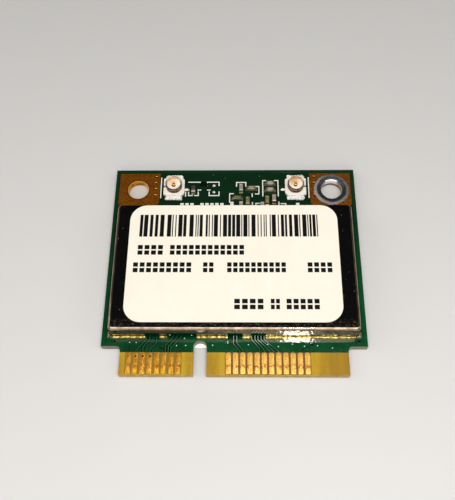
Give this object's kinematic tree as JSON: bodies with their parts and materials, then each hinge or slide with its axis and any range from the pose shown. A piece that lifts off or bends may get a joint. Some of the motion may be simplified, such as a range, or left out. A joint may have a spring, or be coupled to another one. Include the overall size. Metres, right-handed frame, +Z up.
{
  "type": "laptop wireless network card",
  "caption": "Half height wireless card: a green board with a notched gold contact tab, a flat shield can with a paper label, two antenna sockets and two screw holes.",
  "frame": {"origin": "middle of the card's outline, on the underside of the board", "axes": "+X to the right with the contact tab towards the viewer, +Y from the contacts to the screw holes, +Z up out of the can's side"},
  "size_m": [0.03, 0.0268, 0.0033],
  "materials": {
    "laminate": "bare glass laminate, routed edges",
    "solder_mask": "green solder mask, glossy",
    "dull_gold": "immersion gold, dull",
    "contact_gold": "plated gold, worn",
    "solder": "tin solder",
    "socket_plastic": "moulded liquid crystal polymer",
    "socket_shell": "plated, tarnished",
    "board_print": "screen printed epoxy",
    "can_metal": "bright rolled nickel silver",
    "black_film": "matt adhesive film, dusty",
    "label_paper": "coated label paper",
    "label_ink": "thermal transfer ink",
    "capacitor_ceramic": "sintered ceramic",
    "plated_end": "tin plated",
    "resistor_glaze": "glazed",
    "chip_plastic": "moulded epoxy",
    "crystal_ceramic": "ceramic tray",
    "crystal_metal": "plated lid",
    "ferrite": "pressed ferrite"
  },
  "bodies": {
    "root": {"amplifier_chip_left": "chip_plastic", "amplifier_chip_right": "chip_plastic", "antenna_socket_base_left": "socket_plastic", "antenna_socket_base_right": "socket_plastic", "antenna_socket_pin_left": "contact_gold", "antenna_socket_pin_right": "contact_gold", "antenna_socket_shell_left": "socket_shell", "antenna_socket_shell_right": "socket_shell", "antenna_socket_solder": "solder", "antenna_switch_chip": "chip_plastic", "bare_land_domes": "solder", "board_print": "board_print", "chip_joints": "solder", "circuit_board": "laminate", "crystal_lid": "crystal_metal", "crystal_tray": "crystal_ceramic", "edge_contacts_bottom_left": "contact_gold", "edge_contacts_bottom_right": "contact_gold", "edge_contacts_top_left": "contact_gold", "edge_contacts_top_right": "contact_gold", "ground_pad_bottom_left": "dull_gold", "ground_pad_bottom_right": "dull_gold", "ground_pad_top_left": "dull_gold", "ground_pad_top_right": "dull_gold", "hole_barrel_left": "contact_gold", "hole_barrel_right": "solder", "inductor_cores": "ferrite", "inductor_ends": "plated_end", "inner_capacitor_bodies": "capacitor_ceramic", "inner_capacitor_ends": "plated_end", "inner_part_joints": "solder", "inner_resistor_bodies": "resistor_glaze", "inner_resistor_ends": "plated_end", "label": "label_paper", "label_barcode": "label_ink", "label_rows": "label_ink", "memory_chip": "chip_plastic", "part_lands": "dull_gold", "radio_chip": "chip_plastic", "regulator_chip": "chip_plastic", "shield_can": "can_metal", "shield_film": "black_film", "shield_land": "contact_gold", "shield_solder": "solder", "solder_mask_bottom": "solder_mask", "solder_mask_top": "solder_mask", "strip_capacitor_bodies": "capacitor_ceramic", "strip_capacitor_ends": "plated_end", "strip_part_joints": "solder", "strip_resistor_bodies": "resistor_glaze", "strip_resistor_ends": "plated_end", "test_pads_bottom": "dull_gold", "tinned_ring": "solder"}
  },
  "joints": []
}
